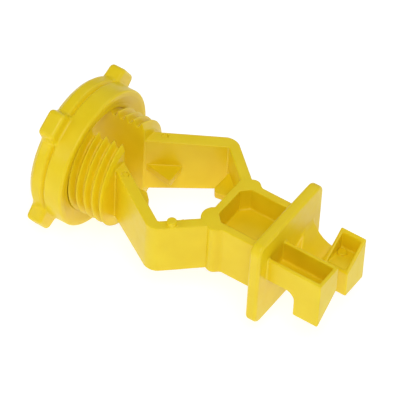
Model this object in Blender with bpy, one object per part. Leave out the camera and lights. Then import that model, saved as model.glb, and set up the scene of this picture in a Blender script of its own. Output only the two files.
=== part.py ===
"""Screw-tight electric-fence post insulator, moulded in yellow polyethylene.

Two mouldings make the object.  The body is a pocketed block with a square shield and two
wire claws in front, and two V-shaped jaws behind that end in threaded half cylinders.  The
ring nut runs on those halves.  The jaws flex at their roots, and the nut follows the thread.

Row frame, in metres: the origin is the centre of the post seat, the flat rear face of the
block.  +X runs from the nut to the claws, +Z is up, and the thread's axis is the X axis.
The design is worked out in millimetres and scaled once, in new_object.
"""
import math

import bmesh
import bpy
from mathutils import Matrix, Vector

MM = 0.001
GAP = 0.3

# Block and post seat
BLOCK_END = 18.05
BLOCK_HALF_Y = 9.55
BLOCK_HALF_Z = 8.2
BLOCK_WALL = 2.3
WEB_HALF = 0.9
POCKET_CHAMFER = 2.2
SEAT_HALF_Y = 3.2
SEAT_STEP = 0.15
ROOT_PAD = (1.9, 6.7)
ROOT_PAD_R = 3.6
ROOT_BOSS = (3.8, 8.8)
ROOT_BOSS_R = 2.3

# Jaws, drawn as (x, y) on the far side
FAR_ARM_T = 3.8
NEAR_ARM_T = 3.4
ARM_ROOT_T = 3.1
FAR_FLARE = (0.7, 1.3)
NEAR_FLARE = (0.7, 0.7)
SPLIT_HALF = 4.55
SHOULDER_X = -28.8
KNEE = (-9.2, 16.8)
ROOT = (0.0, 8.6)
KNEE_R = 2.8
TOOTH_T = 2.3
FAR_SHOULDER_TOOTH = ((-27.7, 5.2), (-19.1, 3.7), (-19.65, 10.25), (-19.7, 11.3), (-27.9, 6.2))
NEAR_SHOULDER_TOOTH = ((-27.7, 5.2), (-20.6, 5.1), (-18.6, 7.1), (-18.0, 8.5), (-17.2, 12.1),
                       (-17.2, 13.0), (-27.9, 6.2))
KNEE_TOOTH = ((-8.0, 17.0), (-8.0, 8.6), (-7.0, 7.45), (-4.1, 8.0), (-0.9, 9.3), (-0.5, 10.2))
STUB_PIN = (-5.6, -15.6)
STUB_PIN_R = 1.35
STUB_PIN_H = 1.4

# Thread
PITCH = 2.55
THREAD_DATUM_X = SHOULDER_X - 0.1 * PITCH
CREST_R = 15.6
THREAD_ROOT_R = 14.1
THREAD_STEPS = 48
THREAD_END_X = -47.8
LEAD_CHAMFER = 1.2
NUT_CLEARANCE = 0.3
STUD_PROFILE = ((0.00, 0.0), (0.20, 0.0), (0.55, 1.0), (0.65, 1.0))
BORE_PROFILE = ((0.05, 0.0), (0.15, 0.0), (0.50, 1.0), (0.70, 1.0))
STUD_LEAD_TURNS = 9
BORE_LEAD_TURNS = 11

# Ring nut
NUT_FRONT_X = -38.3
NUT_DISH_X = -39.0
NUT_STEP_X = -44.1
NUT_BACK_X = -49.0
NUT_MOUTH_R = 16.3
BAND_R = 20.3
BAND_STEP_R = 19.9
FLANGE_R = 20.4
SLEEVE_R = 17.8
NUT_BLEND = 1.0
RING_STEPS = 64
LUG_COUNT = 4
LUG_ANGLE = math.radians(34.5)
LUG_INSET = 0.2
LUG_SHAPE = ((18.6, 4.6), (22.9, 3.8), (24.0, 2.6))

# Shield
SHIELD_BACK_X = 18.35
SHIELD_FRONT_X = 21.7
SHIELD_HALF_Y = 15.4
SHIELD_HALF_Z = 14.5
SHIELD_CORNER_R = 2.8
SHIELD_EDGE_R = 0.6

# Wire claws, drawn for the near one, which hooks downwards
CLAW_START_X = SHIELD_FRONT_X + GAP
CLAW_END_X = 38.2
HOOK_X = 30.4
CLAW_IN_Y = 2.6
CLAW_OUT_Y = 11.3
CLAW_TOP_Z = 8.0
CLAW_WALL = 1.0
FLOOR_T = 1.2
NEAR_CROWN_Z = 0.3
NEAR_NOTCH_ROOT_R = 0.4
NEAR_HOOK_Z = -7.8
FAR_CROWN_Z = 2.2
FAR_NOTCH_ROOT_R = 3.2
FAR_HOOK_Z = -6.9
NOTCH_HOOK_R = 2.9
HOOK_ROOF_Z = -0.4
HOOK_IN_Z = -0.9
PAD_BUTTON = (32.9, -8.3)
PAD_BUTTON_R = 1.3
PAD_BUTTON_H = 0.9

# How far a cutter runs past the face it opens
PAST = 2.0

YELLOW = (0.80, 0.60, 0.03, 1.0)
ROUGHNESS = 0.38


def clear_scene():
    for obj in list(bpy.data.objects):
        bpy.data.objects.remove(obj, do_unlink=True)


def plastic(name):
    material = bpy.data.materials.new(name + "_plastic")
    material.use_nodes = True
    shader = material.node_tree.nodes["Principled BSDF"]
    shader.inputs["Base Color"].default_value = YELLOW
    shader.inputs["Roughness"].default_value = ROUGHNESS
    shader.inputs["Metallic"].default_value = 0.0
    return material


def new_object(name, bm, smooth_degrees=32.0):
    """Scale the design from millimetres and turn it into a shaded object."""
    bmesh.ops.scale(bm, vec=(MM, MM, MM), verts=bm.verts)
    bmesh.ops.recalc_face_normals(bm, faces=bm.faces)
    mesh = bpy.data.meshes.new(name)
    bm.to_mesh(mesh)
    bm.free()
    mesh.shade_smooth()
    mesh.set_sharp_from_angle(angle=math.radians(smooth_degrees))
    obj = bpy.data.objects.new(name, mesh)
    bpy.context.collection.objects.link(obj)
    return obj


def cutter(name, bm):
    obj = new_object(name, bm)
    obj.hide_render = True
    obj.display_type = "WIRE"
    return obj


def boolean(target, tool, operation):
    modifier = target.modifiers.new(operation.lower(), "BOOLEAN")
    modifier.operation = operation
    modifier.solver = "EXACT"
    modifier.object = tool


def finish(obj):
    obj.data.materials.append(plastic(obj.name))
    return obj


def prism(outline, low, high, axis="Z"):
    """Extrude a closed outline; axis X reads the outline as (y, z), axis Z as (x, y)."""
    bm = bmesh.new()

    def place(point, level):
        if axis == "X":
            return (level, point[0], point[1])
        if axis == "Y":
            return (point[0], level, point[1])
        return (point[0], point[1], level)

    base = [bm.verts.new(place(point, low)) for point in outline]
    cap = [bm.verts.new(place(point, high)) for point in outline]
    bm.faces.new(base)
    bm.faces.new(cap)
    count = len(outline)
    for i in range(count):
        j = (i + 1) % count
        bm.faces.new((base[i], base[j], cap[j], cap[i]))
    return bm


def block(low, high):
    outline = ((low[0], low[1]), (high[0], low[1]), (high[0], high[1]), (low[0], high[1]))
    return prism(outline, low[2], high[2])


def circle(centre, radius, steps):
    turn = 2.0 * math.pi / steps
    return [(centre[0] + radius * math.cos(turn * i), centre[1] + radius * math.sin(turn * i))
            for i in range(steps)]


def arc(centre, radius, start, end, steps):
    """Points from angle start to angle end, in degrees, both ends included."""
    points = []
    for i in range(steps + 1):
        angle = math.radians(start + (end - start) * i / steps)
        points.append((centre[0] + radius * math.cos(angle),
                       centre[1] + radius * math.sin(angle)))
    return points


def rounded_rectangle(half_a, half_b, radius, steps=5):
    points = []
    for sign_a, sign_b, start in ((1, 1, 0), (-1, 1, 90), (-1, -1, 180), (1, -1, 270)):
        centre = (sign_a * (half_a - radius), sign_b * (half_b - radius))
        points += arc(centre, radius, start, start + 90, steps)
    return points


def ring(profile, steps):
    """Spin a closed (x, radius) profile about the X axis."""
    bm = bmesh.new()
    rows = []
    for i in range(steps):
        angle = 2.0 * math.pi * i / steps
        rows.append([bm.verts.new((x, r * math.cos(angle), r * math.sin(angle)))
                     for x, r in profile])
    count = len(profile)
    for i in range(steps):
        here = rows[i]
        there = rows[(i + 1) % steps]
        for j in range(count):
            k = (j + 1) % count
            bm.faces.new((here[j], there[j], there[k], here[k]))
    return bm


def threaded_rod(start_x, end_x, root_r, crest_r, profile, steps):
    """A right-hand threaded rod about the X axis, closed by a fan at each end."""
    bm = bmesh.new()
    turns = int(math.ceil((end_x - start_x) / PITCH)) + 1
    rows = []
    for turn in range(turns + 1):
        for phase, height in profile:
            radius = root_r + (crest_r - root_r) * height
            row = []
            for i in range(steps):
                angle = 2.0 * math.pi * i / steps
                x = start_x + PITCH * (turn + phase + i / steps)
                row.append(bm.verts.new((x, radius * math.cos(angle), radius * math.sin(angle))))
            rows.append(row)
    step = len(profile)
    last = len(rows) - step - 1
    for j in range(last):
        for i in range(steps - 1):
            bm.faces.new((rows[j][i], rows[j][i + 1], rows[j + 1][i + 1], rows[j + 1][i]))
        bm.faces.new((rows[j][-1], rows[j + step][0], rows[j + step + 1][0], rows[j + 1][-1]))
    for j, offset in ((0, -PITCH), (last, 2.0 * PITCH)):
        hub_x = rows[j][0].co.x + offset
        hub = bm.verts.new((hub_x, 0.0, 0.0))
        loop = rows[j] + [rows[j + k][0] for k in range(step, 0, -1)]
        for i in range(len(loop)):
            bm.faces.new((loop[i], loop[(i + 1) % len(loop)], hub))
    loose = [vert for vert in bm.verts if not vert.link_faces]
    bmesh.ops.delete(bm, geom=loose, context="VERTS")
    return bm


def turn_over(bm):
    """Turn a near-side piece half a turn about the X axis, onto the far side."""
    bmesh.ops.rotate(bm, verts=bm.verts, cent=(0, 0, 0), matrix=Matrix.Rotation(math.pi, 3, "X"))
    return bm


def spun_solid(profile, steps):
    """Spin an open (x, radius) profile about the X axis and close each end with a disc."""
    bm = bmesh.new()
    rows = []
    for x, r in profile:
        rows.append([bm.verts.new((x, y, z)) for y, z in circle((0.0, 0.0), r, steps)])
    for here, there in zip(rows, rows[1:]):
        for i in range(steps):
            j = (i + 1) % steps
            bm.faces.new((here[i], here[j], there[j], there[i]))
    bm.faces.new(rows[0])
    bm.faces.new(rows[-1])
    return bm


def set_origin(obj, x, y, z):
    """Put the object's origin on its joint's axis and leave its mesh where it is."""
    place = Vector((x, y, z)) * MM
    obj.data.transform(Matrix.Translation(-place))
    obj.location = place


def on_side(points, side):
    return [(x, side * y) for x, y in points]


def heading(a, b):
    """Direction from a to b as an angle in degrees."""
    return math.degrees(math.atan2(b[1] - a[1], b[0] - a[0]))


def offset_line(a, b, distance):
    """The line a-b moved sideways, to its left when walking from a to b."""
    angle = math.radians(heading(a, b) + 90.0)
    side = (distance * math.cos(angle), distance * math.sin(angle))
    return (a[0] + side[0], a[1] + side[1]), (b[0] + side[0], b[1] + side[1])


def crossing(first, second):
    """Where two lines meet, each given by two of its points."""
    (ax, ay), (bx, by) = first
    (cx, cy), (dx, dy) = second
    ux, uy, vx, vy = bx - ax, by - ay, dx - cx, dy - cy
    t = ((cx - ax) * vy - (cy - ay) * vx) / (ux * vy - uy * vx)
    return (ax + t * ux, ay + t * uy)


def line_at_x(a, b, x):
    t = (x - a[0]) / (b[0] - a[0])
    return (x, a[1] + t * (b[1] - a[1]))


def arm_outline(thickness):
    """Plan of the far jaw's arm: back from the thread, sharp inside the knee, round outside."""
    front = SHOULDER_X + GAP
    shoulder = (SHOULDER_X, SPLIT_HALF)
    outer_a = offset_line(shoulder, KNEE, thickness)
    outer_b = offset_line(KNEE, ROOT, ARM_ROOT_T)
    normal_a = heading(shoulder, KNEE) + 90.0
    normal_b = heading(KNEE, ROOT) + 90.0
    centre = crossing(offset_line(shoulder, KNEE, thickness - KNEE_R),
                      offset_line(KNEE, ROOT, ARM_ROOT_T - KNEE_R))
    outline = [line_at_x(shoulder, KNEE, front), KNEE, ROOT, outer_b[1]]
    outline += arc(centre, KNEE_R, normal_b, normal_a, 6)
    outline.append(line_at_x(outer_a[0], outer_a[1], front))
    return outline


def make_jaw_arm(name, side, thickness, flares, shoulder_tooth, teeth_low):
    """One arm of the V with its teeth; side is +1 for the far jaw and -1 for the near one.

    The arm is as tall as the block at its root.  From the knee to the thread it flares, by
    the first of flares at the top and by the second at the bottom.
    """
    top, bottom = [BLOCK_HALF_Z + flare for flare in flares]
    wide = KNEE[1] + 2.0 * thickness
    front = ROOT_PAD[0] + PAST
    arm = new_object(name, prism(on_side(arm_outline(thickness), side), -bottom, top))
    for label, sign, tall in (("top", 1.0, top), ("bottom", -1.0, bottom)):
        wedge = ((SHOULDER_X, sign * tall), (KNEE[0], sign * BLOCK_HALF_Z),
                 (front, sign * BLOCK_HALF_Z), (front, sign * (tall + PAST)),
                 (SHOULDER_X, sign * (tall + PAST)))
        tool = prism(wedge, -wide, wide, axis="Y")
        boolean(arm, cutter("%s_%s_flare" % (name, label), tool), "DIFFERENCE")
    for label, tooth in (("shoulder", shoulder_tooth), ("knee", KNEE_TOOTH)):
        solid = prism(on_side(tooth, side), teeth_low, teeth_low + TOOTH_T)
        boolean(arm, cutter("%s_%s_tooth" % (name, label), solid), "UNION")
    for label, centre, radius in (("pad", ROOT_PAD, ROOT_PAD_R), ("boss", ROOT_BOSS, ROOT_BOSS_R)):
        room = circle((centre[0], side * centre[1]), radius + GAP, 32)
        tool = prism(room, -BLOCK_HALF_Z - PAST, BLOCK_HALF_Z + PAST)
        boolean(arm, cutter("%s_%s_room" % (name, label), tool), "DIFFERENCE")
    return finish(arm)


def add_stub_pin(arm):
    """The short round pin that stands on the near arm's upper edge."""
    pin = prism(circle(STUB_PIN, STUB_PIN_R, 20), 0.0, BLOCK_HALF_Z + STUB_PIN_H)
    boolean(arm, cutter("stub_pin", pin), "UNION")


def make_threaded_half(name, side):
    """Half of the split threaded stud, flat on the side that faces the other half."""
    start = THREAD_DATUM_X - STUD_LEAD_TURNS * PITCH
    stud = new_object(name, threaded_rod(start, SHOULDER_X + PITCH, THREAD_ROOT_R, CREST_R,
                                         STUD_PROFILE, THREAD_STEPS))
    low_y, high_y = sorted((side * SPLIT_HALF, side * (CREST_R + PAST)))
    half = block((THREAD_END_X, low_y, -CREST_R - PAST), (SHOULDER_X, high_y, CREST_R + PAST))
    boolean(stud, cutter(name + "_side", half), "INTERSECT")
    lead = spun_solid(((SHOULDER_X + PAST, CREST_R + PAST),
                       (THREAD_END_X + LEAD_CHAMFER + PAST, CREST_R + PAST),
                       (THREAD_END_X - PAST, CREST_R - LEAD_CHAMFER - PAST)), RING_STEPS)
    boolean(stud, cutter(name + "_lead", lead), "INTERSECT")
    return finish(stud)


def make_jaw(prefix, side, thickness, flares, shoulder_tooth, teeth_low):
    arm = make_jaw_arm(prefix + "_jaw_arm", side, thickness, flares, shoulder_tooth, teeth_low)
    half = make_threaded_half(prefix + "_threaded_half", side)
    for obj in (arm, half):
        set_origin(obj, ROOT_PAD[0], side * ROOT_PAD[1], 0.0)
    return arm


def lug_outline(angle):
    """Section of one grip lug across the axis, as (y, z), wider at its foot."""
    shape = [(r, -t) for r, t in LUG_SHAPE] + [(r, t) for r, t in reversed(LUG_SHAPE)]
    return [(r * math.cos(angle) - t * math.sin(angle), r * math.sin(angle) + t * math.cos(angle))
            for r, t in shape]


def make_nut_hub():
    """The threaded sleeve with the lugged rear flange: it turns, and the collar does not."""
    hidden_r = THREAD_ROOT_R - PAST
    hub = new_object("nut_threaded_hub", ring((
        (NUT_DISH_X, hidden_r), (NUT_DISH_X, NUT_MOUTH_R), (NUT_FRONT_X, SLEEVE_R),
        (NUT_STEP_X, SLEEVE_R), (NUT_STEP_X, FLANGE_R - NUT_BLEND),
        (NUT_STEP_X - NUT_BLEND, FLANGE_R), (NUT_BACK_X + NUT_BLEND, FLANGE_R),
        (NUT_BACK_X, FLANGE_R - NUT_BLEND), (NUT_BACK_X, hidden_r)), RING_STEPS))
    for i in range(LUG_COUNT):
        angle = LUG_ANGLE + 2.0 * math.pi * i / LUG_COUNT
        lug = prism(lug_outline(angle), NUT_BACK_X + LUG_INSET, NUT_STEP_X - LUG_INSET, axis="X")
        boolean(hub, cutter("lug_%d" % i, lug), "UNION")
    start = THREAD_DATUM_X - BORE_LEAD_TURNS * PITCH
    bore = threaded_rod(start, SHOULDER_X, THREAD_ROOT_R + NUT_CLEARANCE,
                        CREST_R + NUT_CLEARANCE, BORE_PROFILE, THREAD_STEPS)
    boolean(hub, cutter("nut_bore", bore), "DIFFERENCE")
    set_origin(hub, NUT_FRONT_X, 0.0, 0.0)
    return finish(hub)


def make_nut_collar():
    """The smooth band of the nut, a running gap outside the threaded sleeve."""
    inner = SLEEVE_R + GAP
    back = NUT_STEP_X + GAP
    collar = new_object("nut_collar", ring((
        (NUT_FRONT_X, inner), (NUT_FRONT_X, BAND_R - NUT_BLEND),
        (NUT_FRONT_X - NUT_BLEND, BAND_R), (back, BAND_STEP_R), (back, inner)), RING_STEPS))
    set_origin(collar, NUT_FRONT_X, 0.0, 0.0)
    return finish(collar)


def pocket_outline():
    """Plan of the pocket, open towards the shield, with cut rear corners."""
    half = BLOCK_HALF_Y - BLOCK_WALL
    cut = POCKET_CHAMFER
    front = BLOCK_END + PAST
    return [(BLOCK_WALL, cut - half), (BLOCK_WALL + cut, -half), (front, -half),
            (front, half), (BLOCK_WALL + cut, half), (BLOCK_WALL, half - cut)]


def make_block():
    """The pocketed block with, on each side, a jaw's root pad and its round corner boss.

    The post seat stands a little proud of the rear wall, between the pads.
    """
    high = BLOCK_HALF_Z
    walls = block((SEAT_STEP, -BLOCK_HALF_Y, -high), (BLOCK_END, BLOCK_HALF_Y, high))
    body = new_object("pocket_block", walls)
    seat = block((0.0, -SEAT_HALF_Y, -high), (BLOCK_WALL, SEAT_HALF_Y, high))
    boolean(body, cutter("post_seat", seat), "UNION")
    for label, side, low in (("far", 1.0, -high), ("near", -1.0, 0.0)):
        pad = prism(circle((ROOT_PAD[0], side * ROOT_PAD[1]), ROOT_PAD_R, 32), low, low + high)
        boolean(body, cutter(label + "_root_pad", pad), "UNION")
        boss = prism(circle((ROOT_BOSS[0], side * ROOT_BOSS[1]), ROOT_BOSS_R, 32), -high, high)
        boolean(body, cutter(label + "_root_boss", boss), "UNION")
    for label, low, top in (("upper", WEB_HALF, high + PAST), ("lower", -high - PAST, -WEB_HALF)):
        pocket = cutter(label + "_pocket", prism(pocket_outline(), low, top))
        boolean(body, pocket, "DIFFERENCE")
    return finish(body)


def make_shield():
    """The square plate between the block and the claws, its edges rounded."""
    outline = rounded_rectangle(SHIELD_HALF_Y, SHIELD_HALF_Z, SHIELD_CORNER_R)
    plate = new_object("shield_plate", prism(outline, SHIELD_BACK_X, SHIELD_FRONT_X, axis="X"))
    bevel = plate.modifiers.new("edges", "BEVEL")
    bevel.width = SHIELD_EDGE_R * MM
    bevel.segments = 2
    bevel.limit_method = "ANGLE"
    bevel.angle_limit = math.radians(60.0)
    return finish(plate)


def claw_side_outline(crown_z, root_r, hook_z):
    """Side view of a claw that hooks downwards, as (x, z), with its wire notch."""
    outline = [(CLAW_START_X, CLAW_TOP_Z)]
    outline += arc((CLAW_START_X + root_r, crown_z - root_r), root_r, 180, 90, 4)
    outline += arc((HOOK_X - NOTCH_HOOK_R, crown_z - NOTCH_HOOK_R), NOTCH_HOOK_R, 90, 0, 6)
    outline += [(HOOK_X, hook_z), (CLAW_END_X, hook_z), (CLAW_END_X, CLAW_TOP_Z)]
    return outline


def make_claw(name, crown_z, root_r, hook_z, turned):
    """A hollow claw on the near side that hooks downwards, or the far one, turned over."""
    outline = claw_side_outline(crown_z, root_r, hook_z)
    body = prism(outline, -CLAW_OUT_Y, -CLAW_IN_Y, axis="Y")
    below = hook_z - PAST
    slope = (HOOK_IN_Z - hook_z) / (CLAW_OUT_Y - CLAW_IN_Y)
    slant = prism(((-CLAW_OUT_Y - PAST, hook_z - PAST * slope),
                   (-CLAW_OUT_Y - PAST, below - PAST), (PAST - CLAW_IN_Y, below - PAST),
                   (PAST - CLAW_IN_Y, HOOK_IN_Z + PAST * slope)),
                  HOOK_X - 0.1, CLAW_END_X + PAST, axis="X")
    inside_low = CLAW_WALL - CLAW_OUT_Y
    inside_high = -CLAW_IN_Y - CLAW_WALL
    channel = block((CLAW_START_X - PAST, inside_low, crown_z + FLOOR_T),
                    (CLAW_END_X - CLAW_WALL, inside_high, CLAW_TOP_Z + PAST))
    hollow = block((HOOK_X + CLAW_WALL, inside_low, below),
                   (CLAW_END_X - CLAW_WALL, inside_high, HOOK_ROOF_Z))
    button = prism(circle(PAD_BUTTON, PAD_BUTTON_R, 24), HOOK_ROOF_Z - PAD_BUTTON_H,
                   HOOK_ROOF_Z + 0.5 * FLOOR_T)
    pieces = [body, slant, channel, hollow, button]
    if turned:
        pieces = [turn_over(piece) for piece in pieces]
    claw = new_object(name, pieces[0])
    for label, tool in zip(("slant", "channel", "hollow"), pieces[1:]):
        boolean(claw, cutter("%s_%s" % (name, label), tool), "DIFFERENCE")
    boolean(claw, cutter(name + "_button", pieces[4]), "UNION")
    return finish(claw)


def main():
    clear_scene()
    make_block()
    make_shield()
    make_claw("near_wire_claw", NEAR_CROWN_Z, NEAR_NOTCH_ROOT_R, NEAR_HOOK_Z, turned=False)
    make_claw("far_wire_claw", FAR_CROWN_Z, FAR_NOTCH_ROOT_R, FAR_HOOK_Z, turned=True)
    make_jaw("far", 1.0, FAR_ARM_T, FAR_FLARE, FAR_SHOULDER_TOOTH, -TOOTH_T)
    near_arm = make_jaw("near", -1.0, NEAR_ARM_T, NEAR_FLARE, NEAR_SHOULDER_TOOTH, 0.0)
    add_stub_pin(near_arm)
    make_nut_hub()
    make_nut_collar()


main()
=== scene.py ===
"""Studio scene of a yellow screw-tight fence insulator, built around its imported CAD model.

Each moulding is described as a signed distance field, which gives every edge and inside
corner its moulded radius.  The field is meshed and each point is then moved onto the surface.
The fields work in millimetres; the meshes are made in metres.
"""

import math

import bpy
import numpy as np
from mathutils import Matrix, Vector

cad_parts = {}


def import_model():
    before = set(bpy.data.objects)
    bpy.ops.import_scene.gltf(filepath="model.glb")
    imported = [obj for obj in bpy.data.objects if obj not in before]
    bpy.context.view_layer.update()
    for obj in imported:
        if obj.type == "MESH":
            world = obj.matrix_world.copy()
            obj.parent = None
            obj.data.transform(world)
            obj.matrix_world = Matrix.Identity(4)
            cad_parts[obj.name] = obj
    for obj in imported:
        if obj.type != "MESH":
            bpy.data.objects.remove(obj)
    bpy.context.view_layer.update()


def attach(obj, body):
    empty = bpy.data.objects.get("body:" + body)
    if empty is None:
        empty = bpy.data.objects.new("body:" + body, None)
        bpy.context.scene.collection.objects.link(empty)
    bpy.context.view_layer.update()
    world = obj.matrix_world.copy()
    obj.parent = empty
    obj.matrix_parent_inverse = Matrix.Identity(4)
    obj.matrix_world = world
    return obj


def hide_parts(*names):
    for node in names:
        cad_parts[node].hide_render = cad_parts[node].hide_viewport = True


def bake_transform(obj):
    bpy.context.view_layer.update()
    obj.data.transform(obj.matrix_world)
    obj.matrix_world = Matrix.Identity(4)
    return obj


MM = 0.001

# Moulded edges, outward and inward
EDGE_R = 0.35
RIM_R = 0.25
FINE_R = 0.2
POCKET_R = 0.5

# Thread
PITCH = 2.55
SHOULDER_X = -28.8
THREAD_DATUM_X = SHOULDER_X - 0.1 * PITCH
THREAD_PEAK = 0.6
THREAD_ROOT_R = 13.6
THREAD_CREST_R = 15.6
THREAD_END_X = -47.8
THREAD_LEAD = 1.2
STUD_SHARPNESS = 1.6
BORE_SHARPNESS = 0.9
BORE_CLEARANCE = 0.3
STUD_FRONT_X = -28.4
STUD_EDGE_R = 0.15
STUD_FILLET = 0.4
SPLIT_HALF = 4.55

# Jaws: places are given for the far one, or with Y turned outwards for the near one
FAR_ARM_T = 3.8
NEAR_ARM_T = 3.4
ARM_ROOT_T = 3.1
FAR_FLARE = (0.7, 1.3)
NEAR_FLARE = (0.7, 0.7)
KNEE = (-9.2, 16.8)
ROOT = (0.0, 8.6)
KNEE_R = 2.8
KNEE_INNER_R = 0.4
HALF_HEIGHT = 8.2
TOOTH_T = 2.3
ARM_START_X = SHOULDER_X - 1.5
ROOT_SINK = 0.06
ROOT_SINK_X = -3.0
ROOT_SINK_RUN = 2.5
ROOT_OVERLAP = 1.2
MARK_R = 0.95
MARK_FLOOR_Z = 8.4
MARK_EDGE_R = 0.1
FAR_MARK = (-25.2, 9.6)
NEAR_MARK = (-25.6, 8.3)
PIN = (-5.6, 15.6)
PIN_R = 1.35
PIN_TOP_Z = 9.6
PIN_EDGE_R = 0.3
FAR_SHOULDER_TOOTH = ((-27.7, 5.2), (-19.1, 3.7), (-19.65, 10.25), (-19.7, 11.3), (-27.9, 6.2))
NEAR_SHOULDER_TOOTH = ((-27.7, 5.2), (-20.6, 5.1), (-18.6, 7.1), (-18.0, 8.5), (-17.2, 12.1),
                       (-17.2, 13.0), (-27.9, 6.2))
KNEE_TOOTH = ((-8.0, 17.0), (-8.0, 8.6), (-7.0, 7.45), (-4.1, 8.0), (-0.9, 9.3), (-0.5, 10.2))

# Block, shield and claws
BLOCK_HALF_Y = 9.55
BLOCK_MIDDLE_X = 12.0
BLOCK_END_X = 20.0
BLOCK_CORNER_R = 0.5
WALL = 2.3
WEB_HALF = 0.9
POCKET_HALF = 7.25
POCKET_END_X = 24.0
POCKET_CORNER = (4.5, 5.05)
POCKET_FLOOR_R = 0.6
POCKET_RIM_R = 0.3
ROOT_PAD = (1.9, 6.7)
ROOT_PAD_R = 3.6
ROOT_BOSS = (3.8, 8.8)
ROOT_BOSS_R = 2.3
ROOT_BOSS_FILLET = 0.8
SHIELD_X = (18.35, 21.7)
SHIELD_HALF = (15.4, 14.5)
SHIELD_R = 2.8
SHIELD_EDGE_R = 0.9
SHIELD_FILLET = 0.5
CLAW_X = (20.6, 38.2)
CLAW_Y = (2.6, 11.3)
CLAW_TOP_Z = 8.0
CLAW_WALL = 1.0
CLAW_NOSE_R = 0.4
CLAW_FILLET = 0.6
CHANNEL_ROOF = 1.2
HOOK_X = 30.4
HOOK_R = 2.9
HOOK_IN_Z = -0.66
HOOK_ROOF_Z = -0.6
HOLLOW_SHIFT = 0.2
NEAR_CROWN_Z = 0.3
NEAR_HOOK_Z = -7.8
FAR_CROWN_Z = 2.3
FAR_HOOK_Z = -6.9
FAR_SLOPE = (4.2, 6.1)
SLOPE_R = 3.2
BUTTON = (32.9, -8.3)
BUTTON_R = 1.3
BUTTON_END_Z = -1.3
BUTTON_FILLET = 0.15

# Ring nut
NUT_R = 0.7
BORE_IN_R = 12.0
BAND = ((-38.3, 18.7), (-38.3, 20.3), (-43.8, 20.3), (-44.3, 19.0), (-44.3, BORE_IN_R),
        (-39.3, BORE_IN_R), (-39.0, 16.3))
BEAD = ((-44.1, BORE_IN_R), (-44.1, 19.1), (-45.1, 20.4), (-47.6, 20.4), (-49.0, 19.1),
        (-49.0, BORE_IN_R))
LUG = ((17.5, -4.9), (24.0, -3.6), (24.0, 3.6), (17.5, 4.9))
LUG_X = (-48.7, -43.8)
LUG_ANGLE = math.radians(34.5)
LUG_CORNER_R = 1.5
LUG_EDGE_R = 1.0
LUG_FILLET = 0.8
LUGS = 4
CREASE_FILLET = 0.2
BORE_RIM_R = 0.1

# Meshing: the space that each field is searched in, and the size of its cells
BODY_SPACE = ((-2.4, -16.0, -15.2), (38.8, 16.0, 15.2))
FAR_JAW_SPACE = ((-48.4, 2.8, -16.2), (4.4, 21.2, 16.2))
NEAR_JAW_SPACE = ((-48.4, -21.2, -16.2), (4.4, -2.8, 16.2))
NUT_SPACE = ((-49.6, -25.4, -25.4), (-37.8, 25.4, 25.4))
STEP = 0.26
SETTLE_ROUNDS = 4
SETTLE_REACH = 0.02
LEAST_SLOPE = 0.05
NORMAL_REACH = 0.06
MOVE_LIMIT = 0.15

# Plastic: two base colours, and noise scales in cells a metre
GOLDEN = (0.84, 0.615, 0.004, 1.0)
LEMON = (0.88, 0.665, 0.010, 1.0)
CLOUD_SCALE = 140.0
GLOSS_SCALE = 420.0
GRAIN_SCALE = 2600.0
GRAIN_DEPTH = 0.00006
ROUGHNESS = (0.32, 0.44)

# Stage, in metres and degrees, but the camera's aim in millimetres
WHITE = (1.0, 1.0, 1.0, 1.0)
FLOOR_GREY = (0.45, 0.45, 0.45, 1.0)
FLOOR_Z = -0.0212
FLOOR_HALF = 3.0
LIGHT_DISTANCE = 0.6
CAMERA_ANGLES = (31.81, 46.45, 3.16)
CAMERA_AIM = (-8.09, 1.775, 1.041)
CAMERA_DISTANCE = 0.88885


# Distance fields -------------------------------------------------------------------------

def outline(u, v, points):
    """Signed distance to a closed outline in a plane, negative inside."""
    best = np.full(np.broadcast_shapes(u.shape, v.shape), 1e9, np.float32)
    inside = np.zeros(best.shape, bool)
    for (ax, ay), (bx, by) in zip(points, list(points[1:]) + [points[0]]):
        ex, ey = bx - ax, by - ay
        t = np.clip(((u - ax) * ex + (v - ay) * ey) / (ex * ex + ey * ey), 0.0, 1.0)
        du = u - ax - t * ex
        dv = v - ay - t * ey
        np.minimum(best, du * du + dv * dv, out=best)
        if ey:
            inside ^= ((ay > v) != (by > v)) & (u < ax + (v - ay) * ex / ey)
    d = np.sqrt(best)
    return np.where(inside, -d, d)


def inset(points, r):
    """The outline moved inwards by r, corner by corner."""
    area = sum(a[0] * b[1] - b[0] * a[1] for a, b in zip(points, list(points[1:]) + [points[0]]))
    turn = 1.0 if area > 0.0 else -1.0
    made = []
    for i, here in enumerate(points):
        before = Vector(points[i - 1]) - Vector(here)
        after = Vector(points[(i + 1) % len(points)]) - Vector(here)
        n0 = turn * Vector((before.y, -before.x)).normalized()
        n1 = turn * Vector((-after.y, after.x)).normalized()
        made.append(tuple(Vector(here) + (n0 + n1) * (r / (1.0 + n0.dot(n1)))))
    return made


def rounded_outline(u, v, points, r):
    """An outline whose outward corners have radius r."""
    return outline(u, v, inset(points, r)) - r


def rounded_box(u, v, half_u, half_v, r):
    """A rectangle about the origin with corners of radius r."""
    a = np.abs(u) - half_u + r
    b = np.abs(v) - half_v + r
    return np.minimum(np.maximum(a, b), 0.0) + np.hypot(np.maximum(a, 0.0), np.maximum(b, 0.0)) - r


def disc(u, v, centre, r):
    """A circle of radius r."""
    return np.hypot(u - centre[0], v - centre[1]) - r


def meet(a, b, r):
    """Where a and b overlap, with the edge between them rounded to r."""
    return np.minimum(-r, np.maximum(a, b)) + np.hypot(np.maximum(r + a, 0.0),
                                                       np.maximum(r + b, 0.0))


def join(a, b, r):
    """a and b together, with a fillet of radius r in the corner between them."""
    return np.maximum(r, np.minimum(a, b)) - np.hypot(np.maximum(r - a, 0.0),
                                                      np.maximum(r - b, 0.0))


def cut(a, b, r):
    """a without b, the rim rounded to r."""
    return meet(a, -b, r)


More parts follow.
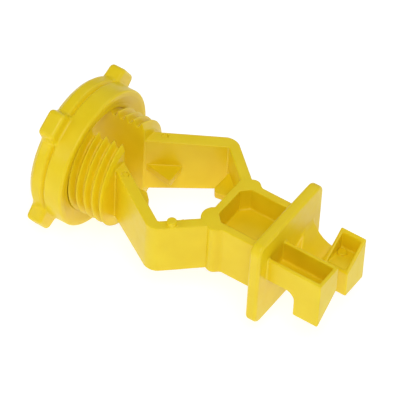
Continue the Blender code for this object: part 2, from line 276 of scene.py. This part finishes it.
def extrude(d, w, low, high, r):
    """A plane shape d carried from low to high along w, its end edges rounded to r."""
    return meet(d, np.abs(w - 0.5 * (low + high)) - 0.5 * (high - low), r)


def thread(x, y, z, grow, sharpness):
    """A right-hand thread about the X axis; grow adds to its radius.

    A higher sharpness gives narrower crests.  The last division makes the value a distance.
    """
    phase = (x - THREAD_DATUM_X) / PITCH - np.arctan2(z, y) / (2.0 * math.pi)
    turn = 2.0 * math.pi * (phase - THREAD_PEAK)
    wave = 0.5 + 0.5 * np.cos(turn)
    depth = THREAD_CREST_R - THREAD_ROOT_R
    height = depth * wave ** sharpness
    slope = depth * sharpness * math.pi / PITCH * np.sin(turn)
    slope = slope * np.maximum(wave, 1e-4) ** (sharpness - 1.0)
    r = np.hypot(y, z)
    return (r - THREAD_ROOT_R - grow - height) / np.sqrt(1.0 + slope * slope)


# Meshing ---------------------------------------------------------------------------------

def net(field, low, high, step):
    """A closed quad mesh of the field's zero surface, one point for each cell it crosses."""
    axes = [np.arange(low[i], high[i] + step, step, dtype=np.float64) for i in range(3)]
    d = field(axes[0][:, None, None], axes[1][None, :, None], axes[2][None, None, :])

    # A cell has a point if some of its eight corners are inside and some outside.
    solid = d < 0.0
    count = np.zeros([n - 1 for n in d.shape], np.uint8)
    for i in (0, 1):
        for j in (0, 1):
            for k in (0, 1):
                count += solid[i:i + count.shape[0], j:j + count.shape[1], k:k + count.shape[2]]
    crossed = (count > 0) & (count < 8)
    index = np.full(count.shape, -1, np.int64)
    total = int(crossed.sum())
    index[crossed] = np.arange(total)

    # Each grid edge that the surface crosses makes a quad of the four cells around it, and each
    # cell's point is the mean of the crossings on its edges.
    place = np.zeros((total, 3))
    hits = np.zeros(total)
    quads = []
    for a in range(3):
        b, c = (a + 1) % 3, (a + 2) % 3
        here = [slice(None)] * 3
        there = [slice(None)] * 3
        here[a] = slice(0, -1)
        there[a] = slice(1, None)
        d0, d1 = d[tuple(here)], d[tuple(there)]
        at = np.argwhere((d0 < 0.0) != (d1 < 0.0))
        v0, v1 = d0[tuple(at.T)], d1[tuple(at.T)]
        point = np.stack([axes[i][at[:, i]] for i in range(3)], 1)
        point[:, a] += step * v0 / (v0 - v1)
        cells = []
        for ob, oc in ((-1, -1), (0, -1), (0, 0), (-1, 0)):
            cell = at.copy()
            cell[:, b] += ob
            cell[:, c] += oc
            which = index[tuple(cell.T)]
            cells.append(which)
            hits += np.bincount(which, minlength=total)
            for i in range(3):
                place[:, i] += np.bincount(which, weights=point[:, i], minlength=total)
        face = np.stack(cells, 1)
        face[v0 >= 0.0] = face[v0 >= 0.0][:, ::-1]
        quads.append(face)
    return place / hits[:, None], np.concatenate(quads)


def gradient(field, p, reach):
    """The field's slope at each point, from its values at reach to either side."""
    g = np.empty_like(p)
    for i in range(3):
        step = np.zeros(3)
        step[i] = reach
        g[:, i] = (field(*(p + step).T) - field(*(p - step).T)) / (2.0 * reach)
    return g


def settle(field, p):
    """Moves each point along the field's gradient onto its zero surface."""
    for _ in range(SETTLE_ROUNDS):
        g = gradient(field, p, SETTLE_REACH)
        size = np.maximum((g * g).sum(1), LEAST_SLOPE)
        move = np.clip(field(*p.T) / size, -MOVE_LIMIT, MOVE_LIMIT)
        p = p - g * move[:, None]
    return p


def moulding(name, field, space, step):
    """A smooth-shaded object of the field's surface, with the field's own normals."""
    points, quads = net(field, *space, step)
    points = settle(field, points)
    normals = gradient(field, points, NORMAL_REACH)
    normals /= np.maximum(np.linalg.norm(normals, axis=1), 1e-6)[:, None]
    mesh = bpy.data.meshes.new(name)
    mesh.vertices.add(len(points))
    mesh.vertices.foreach_set("co", (points * MM).astype(np.float32).ravel())
    mesh.loops.add(quads.size)
    mesh.loops.foreach_set("vertex_index", quads.astype(np.int32).ravel())
    mesh.polygons.add(len(quads))
    mesh.polygons.foreach_set("loop_start", np.arange(0, quads.size, 4, dtype=np.int32))
    mesh.update(calc_edges=True)
    mesh.validate()
    mesh.shade_smooth()
    mesh.normals_split_custom_set_from_vertices(normals.tolist())
    obj = bpy.data.objects.new(name, mesh)
    bpy.context.scene.collection.objects.link(obj)
    return obj


# The body moulding -----------------------------------------------------------------------

def block_field(x, y, z):
    """The pocketed block with its corner bosses and a root pad on each half.

    The far pad stands on the lower half and the near pad on the upper half.
    """
    walls = rounded_box(x - BLOCK_MIDDLE_X, y, BLOCK_MIDDLE_X, BLOCK_HALF_Y, BLOCK_CORNER_R)
    for side in (1.0, -1.0):
        boss = disc(x, y, (ROOT_BOSS[0], side * ROOT_BOSS[1]), ROOT_BOSS_R)
        walls = join(walls, boss, ROOT_BOSS_FILLET)
    halves = []
    for side in (1.0, -1.0):
        pad = disc(x, y, (ROOT_PAD[0], side * ROOT_PAD[1]), ROOT_PAD_R)
        half = extrude(np.minimum(walls, pad), side * z, -HALF_HEIGHT, 1.0, EDGE_R)
        halves.append(np.maximum(half, side * z))
    solid = np.minimum(*halves)
    corner_x, corner_y = POCKET_CORNER
    pocket = rounded_outline(x, y, ((WALL, -corner_y), (corner_x, -POCKET_HALF),
                                    (POCKET_END_X, -POCKET_HALF), (POCKET_END_X, POCKET_HALF),
                                    (corner_x, POCKET_HALF), (WALL, corner_y)), POCKET_R)
    past = 2.5 * HALF_HEIGHT
    for low, high in ((WEB_HALF, past), (-past, -WEB_HALF)):
        solid = cut(solid, extrude(pocket, z, low, high, POCKET_FLOOR_R), POCKET_RIM_R)
    return solid


def claw_field(x, y, z, crown_z, notch_slope, hook_z):
    """The near claw, which hooks downwards.  It starts inside the shield.

    notch_slope is the notch's slope next to the shield, given by its length and its height.
    """
    notch = meet(z - crown_z, x - HOOK_X, HOOK_R)
    if notch_slope:
        run, rise = notch_slope
        slope = (run * (z - crown_z + rise) - rise * (x - SHIELD_X[1])) / math.hypot(run, rise)
        notch = meet(notch, slope, SLOPE_R)
    side = cut(meet(z - CLAW_TOP_Z, x - CLAW_X[1], CLAW_NOSE_R), notch, EDGE_R)
    claw = extrude(side, y, -CLAW_Y[1], -CLAW_Y[0], EDGE_R)
    width = CLAW_Y[1] - CLAW_Y[0]
    tilt = (HOOK_IN_Z - hook_z) / width
    slant = (hook_z + tilt * (y + CLAW_Y[1]) - z) / math.hypot(1.0, tilt)
    claw = meet(claw, slant, EDGE_R)
    claw = np.maximum(claw, CLAW_X[0] - x)
    middle = 0.5 * (CLAW_Y[0] + CLAW_Y[1])
    inside = np.abs(y + middle) - 0.5 * width + CLAW_WALL
    channel = extrude(inside, x, 0.0, CLAW_X[1] - CLAW_WALL, POCKET_R)
    claw = cut(claw, meet(channel, crown_z + CHANNEL_ROOF - z, POCKET_R), RIM_R)
    inside = np.abs(y + middle - HOLLOW_SHIFT) - 0.5 * width + CLAW_WALL - HOLLOW_SHIFT
    hollow = extrude(inside, x, HOOK_X + CLAW_WALL, CLAW_X[1] - CLAW_WALL, POCKET_R)
    claw = cut(claw, meet(hollow, z - HOOK_ROOF_Z, POCKET_R), RIM_R)
    button = extrude(disc(x, y, BUTTON, BUTTON_R), z, BUTTON_END_Z, 0.0, FINE_R)
    return join(claw, button, BUTTON_FILLET)


def body_field(x, y, z):
    """Block, shield and claws.  The far claw is the near one turned half a turn about X."""
    plate = rounded_box(y, z, SHIELD_HALF[0], SHIELD_HALF[1], SHIELD_R)
    shield = extrude(plate, x, SHIELD_X[0], SHIELD_X[1], SHIELD_EDGE_R)
    solid = join(np.maximum(block_field(x, y, z), x - BLOCK_END_X), shield, SHIELD_FILLET)
    solid = join(solid, claw_field(x, y, z, NEAR_CROWN_Z, None, NEAR_HOOK_Z), CLAW_FILLET)
    return join(solid, claw_field(x, -y, -z, FAR_CROWN_Z, FAR_SLOPE, FAR_HOOK_Z), CLAW_FILLET)


# The jaws --------------------------------------------------------------------------------

def half_plane(x, y, a, b, offset):
    """Distance to the left of the line a-b moved left by offset."""
    length = math.dist(a, b)
    return ((b[0] - a[0]) * (y - a[1]) - (b[1] - a[1]) * (x - a[0])) / length - offset


def arm_plan(x, y, thickness):
    """The V of a jaw's arm seen from above, cut off square behind its root."""
    shoulder = (SHOULDER_X, SPLIT_HALF)
    outer = meet(half_plane(x, y, shoulder, KNEE, thickness),
                 half_plane(x, y, KNEE, ROOT, ARM_ROOT_T), KNEE_R)
    inner = meet(half_plane(x, y, shoulder, KNEE, 0.0), half_plane(x, y, KNEE, ROOT, 0.0),
                 KNEE_INNER_R)
    wall = np.maximum(outer, -inner)
    along = (Vector(ROOT) - Vector(KNEE)).normalized()
    end = (x - ROOT[0]) * along.x + (y - ROOT[1]) * along.y - ROOT_OVERLAP
    return np.maximum(wall, end)


def jaw_field(x, y, z, side, thickness, flares, shoulder_tooth, low, mark_at):
    """A jaw: arm, threaded half, two teeth from the height low upwards, and the near one's pin.

    side is +1 for the far jaw and -1 for the near one.  The arm's root is sunk a little, so that
    its top and underside don't lie in the same plane as the block's.
    """
    out = side * y
    arm = np.maximum(arm_plan(x, out, thickness), ARM_START_X - x)
    flare = np.clip((KNEE[0] - x) / (KNEE[0] - SHOULDER_X), 0.0, 1.0)
    sunk = ROOT_SINK * np.clip((x - ROOT_SINK_X) / ROOT_SINK_RUN, 0.0, 1.0)
    for sign, most in zip((1.0, -1.0), flares):
        arm = meet(arm, sign * z - HALF_HEIGHT - most * flare + sunk, EDGE_R)
    mark = disc(x, out, mark_at, MARK_R)
    mark = extrude(mark, z, MARK_FLOOR_Z, 2.0 * HALF_HEIGHT, MARK_EDGE_R)
    arm = cut(arm, mark, MARK_EDGE_R)
    if side < 0.0:
        pin = extrude(disc(x, out, PIN, PIN_R), z, 0.0, PIN_TOP_Z, PIN_EDGE_R)
        arm = join(arm, pin, FINE_R)
    stud = thread(x, y, z, 0.0, STUD_SHARPNESS)
    lead = np.hypot(y, z) - (THREAD_CREST_R - THREAD_LEAD) + (THREAD_END_X - x)
    stud = np.maximum(stud, lead * math.sqrt(0.5))
    stud = meet(stud, np.maximum(x - STUD_FRONT_X, THREAD_END_X - x), STUD_EDGE_R)
    solid = meet(join(stud, arm, STUD_FILLET), SPLIT_HALF - out, FINE_R)
    for tooth in (shoulder_tooth, KNEE_TOOTH):
        fin = extrude(rounded_outline(x, out, tooth, RIM_R), z, low, low + TOOTH_T, FINE_R)
        solid = join(solid, fin, RIM_R)
    return solid


def far_jaw(x, y, z):
    """The far jaw, with its teeth just under the middle."""
    return jaw_field(x, y, z, 1.0, FAR_ARM_T, FAR_FLARE, FAR_SHOULDER_TOOTH, -TOOTH_T, FAR_MARK)


def near_jaw(x, y, z):
    """The near jaw, with its teeth just above the middle."""
    return jaw_field(x, y, z, -1.0, NEAR_ARM_T, NEAR_FLARE, NEAR_SHOULDER_TOOTH, 0.0, NEAR_MARK)


# The ring nut ----------------------------------------------------------------------------

def nut_field(x, y, z):
    """The band, the rear bead and the lugs, with the bore thread cut through them."""
    r = np.hypot(y, z)
    band = rounded_outline(x, r, BAND, NUT_R)
    bead = rounded_outline(x, r, BEAD, NUT_R)
    solid = join(band, bead, CREASE_FILLET)
    for i in range(LUGS):
        angle = LUG_ANGLE + 2.0 * math.pi * i / LUGS
        out = y * math.cos(angle) + z * math.sin(angle)
        across = -y * math.sin(angle) + z * math.cos(angle)
        lug = rounded_outline(out, across, LUG, LUG_CORNER_R)
        solid = join(solid, extrude(lug, x, LUG_X[0], LUG_X[1], LUG_EDGE_R), LUG_FILLET)
    return cut(solid, thread(x, y, z, BORE_CLEARANCE, BORE_SHARPNESS), BORE_RIM_R)


# Materials -------------------------------------------------------------------------------

def moulded_yellow():
    """Soft-gloss polyethylene: faint colour clouds, uneven gloss and a fine grain."""
    material = bpy.data.materials.new("moulded_yellow")
    material.use_nodes = True
    tree = material.node_tree
    nodes, links = tree.nodes, tree.links
    shader = nodes["Principled BSDF"]
    place = nodes.new("ShaderNodeTexCoord")

    def noise(scale, detail):
        node = nodes.new("ShaderNodeTexNoise")
        node.inputs["Scale"].default_value = scale
        node.inputs["Detail"].default_value = detail
        node.inputs["Roughness"].default_value = 0.5
        links.new(place.outputs["Object"], node.inputs["Vector"])
        return node.outputs["Fac"]

    def spread(source, first, last):
        """Carries the middle of a noise's range onto first to last."""
        node = nodes.new("ShaderNodeMapRange")
        node.inputs["From Min"].default_value = 0.3
        node.inputs["From Max"].default_value = 0.7
        node.inputs["To Min"].default_value = first
        node.inputs["To Max"].default_value = last
        links.new(source, node.inputs["Value"])
        return node.outputs["Result"]

    clouds = nodes.new("ShaderNodeMix")
    clouds.data_type = "RGBA"
    clouds.inputs["A"].default_value = GOLDEN
    clouds.inputs["B"].default_value = LEMON
    links.new(spread(noise(CLOUD_SCALE, 4.0), 0.0, 1.0), clouds.inputs["Factor"])
    links.new(clouds.outputs["Result"], shader.inputs["Base Color"])
    links.new(spread(noise(GLOSS_SCALE, 3.0), *ROUGHNESS), shader.inputs["Roughness"])
    bump = nodes.new("ShaderNodeBump")
    bump.inputs["Strength"].default_value = 0.12
    bump.inputs["Distance"].default_value = GRAIN_DEPTH
    links.new(noise(GRAIN_SCALE, 3.0), bump.inputs["Height"])
    links.new(bump.outputs["Normal"], shader.inputs["Normal"])
    shader.inputs["Subsurface Weight"].default_value = 0.08
    shader.inputs["Subsurface Radius"].default_value = (1.0, 0.70, 0.05)
    shader.inputs["Subsurface Scale"].default_value = 0.0015
    shader.inputs["IOR"].default_value = 1.5
    shader.inputs["Specular IOR Level"].default_value = 0.34
    return material


def floor_material():
    """A floor that glows a little, so that it stays pale under the object."""
    material = bpy.data.materials.new("pale_floor")
    material.use_nodes = True
    shader = material.node_tree.nodes["Principled BSDF"]
    shader.inputs["Base Color"].default_value = FLOOR_GREY
    shader.inputs["Roughness"].default_value = 0.9
    shader.inputs["Emission Color"].default_value = WHITE
    shader.inputs["Emission Strength"].default_value = 0.76
    return material


# Stage -----------------------------------------------------------------------------------

def look_along(obj, back, up):
    """Turns obj so that it looks along -back, with its Y axis as near up as it can be."""
    right = up.cross(back).normalized()
    turned = Matrix((right, back.cross(right), back)).transposed()
    obj.rotation_mode = "QUATERNION"
    obj.rotation_quaternion = turned.to_quaternion()


def make_camera():
    """A long lens that looks down on the near side from beyond the claws."""
    azimuth, elevation, roll = (math.radians(a) for a in CAMERA_ANGLES)
    back = Vector((math.sin(azimuth) * math.cos(elevation),
                   -math.cos(azimuth) * math.cos(elevation), math.sin(elevation)))
    level = Vector((math.cos(azimuth), math.sin(azimuth), 0.0))
    up = back.cross(level) * math.cos(roll) - level * math.sin(roll)
    camera = bpy.data.objects.new("camera", bpy.data.cameras.new("camera"))
    bpy.context.scene.collection.objects.link(camera)
    camera.data.sensor_width = 36.0
    camera.data.lens = 299.1
    camera.data.clip_start = 0.01
    camera.data.clip_end = 50.0
    camera.location = Vector(CAMERA_AIM) * MM + back * CAMERA_DISTANCE
    look_along(camera, back, up)
    bpy.context.scene.camera = camera


def area_light(name, direction, size, watts):
    """A round soft light, seen from the object in the given direction."""
    light = bpy.data.objects.new(name, bpy.data.lights.new(name, "AREA"))
    bpy.context.scene.collection.objects.link(light)
    light.data.shape = "DISK"
    light.data.size = size
    light.data.energy = watts
    back = Vector(direction).normalized()
    light.location = back * LIGHT_DISTANCE
    look_along(light, back, Vector((0.0, 0.0, 1.0)))


def make_world():
    """A pale surround that is brightest on the claws' side."""
    world = bpy.data.worlds.new("studio")
    world.use_nodes = True
    nodes, links = world.node_tree.nodes, world.node_tree.links
    background = nodes["Background"]
    background.inputs["Color"].default_value = WHITE
    place = nodes.new("ShaderNodeTexCoord")
    axes = nodes.new("ShaderNodeSeparateXYZ")
    links.new(place.outputs["Generated"], axes.inputs["Vector"])
    strength = nodes.new("ShaderNodeMapRange")
    strength.inputs["To Min"].default_value = 0.26
    strength.inputs["To Max"].default_value = 0.60
    links.new(axes.outputs["X"], strength.inputs["Value"])
    links.new(strength.outputs["Result"], background.inputs["Strength"])
    bpy.context.scene.world = world


def make_floor():
    """The floor touches the lowest lug of the nut."""
    mesh = bpy.data.meshes.new("floor")
    corners = [(x * FLOOR_HALF, y * FLOOR_HALF, 0.0)
               for x, y in ((-1.0, -1.0), (1.0, -1.0), (1.0, 1.0), (-1.0, 1.0))]
    mesh.from_pydata(corners, [], [(0, 1, 2, 3)])
    mesh.materials.append(floor_material())
    floor = bpy.data.objects.new("floor", mesh)
    bpy.context.scene.collection.objects.link(floor)
    floor.location.z = FLOOR_Z


def make_stage():
    make_world()
    area_light("key", (0.35, -0.55, 1.0), 0.30, 1.40)
    area_light("front", (-0.5, -0.8, 0.45), 0.20, 0.34)
    area_light("left", (-0.9, -0.4, 0.7), 0.30, 0.30)
    area_light("back", (0.0, 0.8, 0.8), 0.40, 0.50)
    make_floor()


def main():
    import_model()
    step = STEP
    yellow = moulded_yellow()
    body = moulding("body_moulding", body_field, BODY_SPACE, step)
    far = moulding("far_jaw_moulding", far_jaw, FAR_JAW_SPACE, step)
    near = moulding("near_jaw_moulding", near_jaw, NEAR_JAW_SPACE, step)
    nut = moulding("ring_nut", nut_field, NUT_SPACE, step)
    for obj in (body, far, near, nut):
        obj.data.materials.append(yellow)
    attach(body, "insulator_body")
    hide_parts("pocket_block", "shield_plate", "near_wire_claw", "far_wire_claw")
    for obj, side, prefix in ((far, 1.0, "far"), (near, -1.0, "near")):
        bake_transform(obj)
        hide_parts(prefix + "_jaw_arm", prefix + "_threaded_half")
    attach(nut, "nut_spinner")
    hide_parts("nut_threaded_hub", "nut_collar")
    make_stage()
    make_camera()
    bpy.context.scene.view_settings.view_transform = "Standard"


main()
